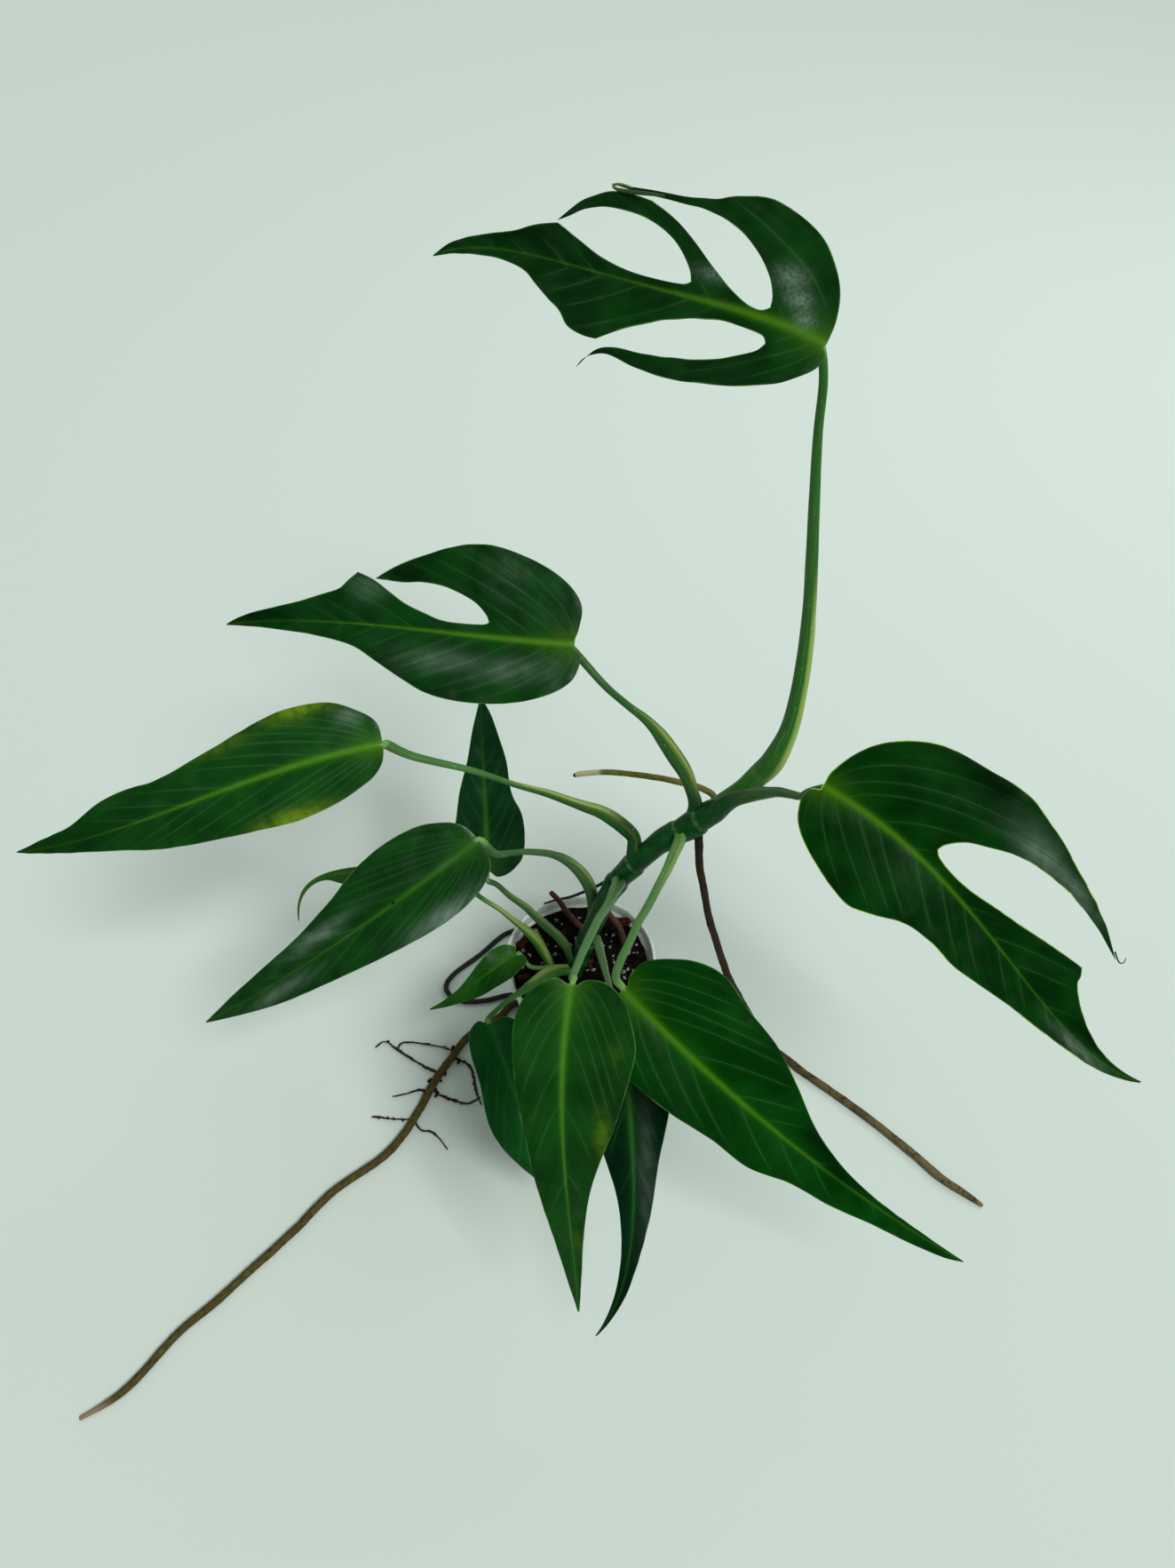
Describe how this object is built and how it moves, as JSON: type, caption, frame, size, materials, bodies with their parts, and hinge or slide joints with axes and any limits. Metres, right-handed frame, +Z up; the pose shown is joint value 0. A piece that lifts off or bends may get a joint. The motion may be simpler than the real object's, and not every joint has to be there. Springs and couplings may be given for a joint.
{
  "type": "potted house plant",
  "caption": "Potted split-leaf climbing aroid: round nursery pot, soil, leaning green stem, long pointed blades on sheathed petioles, and aerial roots that trail on the surface.",
  "frame": {"origin": "centre of the pot's underside, on the surface that it stands on", "axes": "+Z up along the pot's axis; -Y is the side that the picture was taken from, +X its right"},
  "size_m": [0.636, 0.4546, 0.5543],
  "materials": {
    "pot": "milky moulded polypropylene",
    "soil": "damp dark potting mix",
    "stem": "smooth green stem",
    "blade": "glossy dark green blade",
    "petiole": "satin yellow-green stalk",
    "petiole_pale": "satin grey-green stalk",
    "root": "olive brown bark",
    "root_dark": "dark brown bark"
  },
  "bodies": {
    "root": {"pot": "pot", "stem": "stem", "blade_a": "blade", "petiole_a": "petiole", "blade_b": "blade", "petiole_b": "petiole", "blade_c": "blade", "petiole_c": "petiole", "blade_d": "blade", "petiole_d": "petiole_pale", "blade_e": "blade", "petiole_e": "petiole", "blade_f": "blade", "petiole_f": "petiole", "blade_g": "blade", "petiole_g": "petiole_pale", "blade_h": "blade", "petiole_h": "petiole", "blade_i": "blade", "petiole_i": "petiole_pale", "blade_j": "blade", "petiole_j": "petiole_pale", "blade_k": "blade", "petiole_k": "petiole", "blade_l": "blade", "petiole_l": "petiole", "root_long_left": "root", "root_rim_left": "root_dark", "root_floor_loop": "root_dark", "root_long_right": "root", "root_back_left": "root", "root_stub_back": "root_dark", "root_stub_right": "root", "soil": "soil"}
  },
  "joints": []
}
